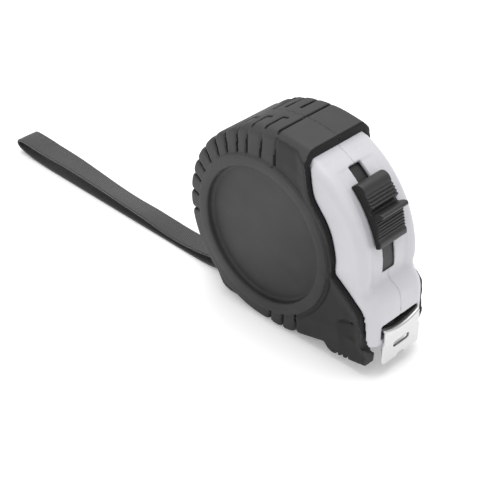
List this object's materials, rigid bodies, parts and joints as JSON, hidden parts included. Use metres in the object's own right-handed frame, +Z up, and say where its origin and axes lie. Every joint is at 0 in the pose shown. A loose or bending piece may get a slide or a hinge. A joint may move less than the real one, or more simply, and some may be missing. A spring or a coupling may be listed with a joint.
{
  "type": "tape measure",
  "caption": "Pocket tape measure with rubber-gripped casing, sprung blade on a reel, sliding thumb lock, end hook, belt clip and looped wrist strap.",
  "frame": {"origin": "bottom centre of the tape measure without its strap: on the surface it stands on, midway between the rear of the grips and the front of the hook, and midway across the foot rail and the belt clip", "axes": "+X from the rear of the casing towards the hook, the way the blade is drawn; +Y towards the side with the belt clip; +Z up from the flat belly"},
  "size_m": [0.2027, 0.0375, 0.0775],
  "materials": {
    "casing_plastic": "moulded, satin, near white",
    "grip_rubber": "moulded, matt charcoal grey",
    "lock_plastic": "moulded, satin dark grey",
    "reel_plastic": "moulded, satin, dark",
    "blade_paint": "lacquered steel strip, satin yellow",
    "hook_steel": "nickel plated, satin",
    "clip_steel": "nickel plated, satin",
    "plated_steel": "zinc plated",
    "spring_steel": "bright strip, oiled",
    "webbing": "woven flat webbing, dark grey",
    "pad_rubber": "soft black pad"
  },
  "bodies": {
    "casing": {"shell_left": "casing_plastic", "shell_right": "casing_plastic", "grip_left": "grip_rubber", "grip_right": "grip_rubber", "spring_post": "plated_steel", "power_spring": "spring_steel", "hook_bumper": "pad_rubber", "belt_clip": "clip_steel", "belt_clip_screw": "plated_steel", "strap_pin": "plated_steel", "strap": "webbing", "housing_screw_1": "plated_steel", "housing_screw_2": "plated_steel", "housing_screw_3": "plated_steel", "housing_screw_4": "plated_steel"},
    "reel": {"reel_drum": "reel_plastic", "reel_cover": "reel_plastic", "tape_coil": "blade_paint"},
    "blade": {"tape_lead": "blade_paint", "hook_rivet_1": "plated_steel", "hook_rivet_2": "plated_steel"},
    "hook": {"hook": "hook_steel"},
    "lock": {"lock_button": "lock_plastic", "lock_arm": "lock_plastic", "brake_pad": "pad_rubber"}
  },
  "joints": [
    {"name": "tape_draw", "type": "slide", "parent": "casing", "child": "blade", "axis": [1, 0, 0], "range_m": [0, 5], "stiffness_N_per_m": 1.5, "springref_m": -2, "deforming": ["tape_lead"]},
    {"name": "reel_spin", "type": "hinge", "parent": "casing", "child": "reel", "pos_m": [-0.0075, 0, 0.036], "axis": [0, 1, 0], "range_deg": [-12410, 0]},
    {"name": "hook_play", "type": "slide", "parent": "blade", "child": "hook", "axis": [1, 0, 0], "range_m": [0, 0.0008]},
    {"name": "lock_slide", "type": "hinge", "parent": "casing", "child": "lock", "pos_m": [-0.0031, 0, 0.036], "axis": [0, 1, 0], "range_deg": [0, 9.5]}
  ],
  "couplings": [
    {"joint": "reel_spin", "follows": "tape_draw", "rad_per_m": -43.3}
  ]
}
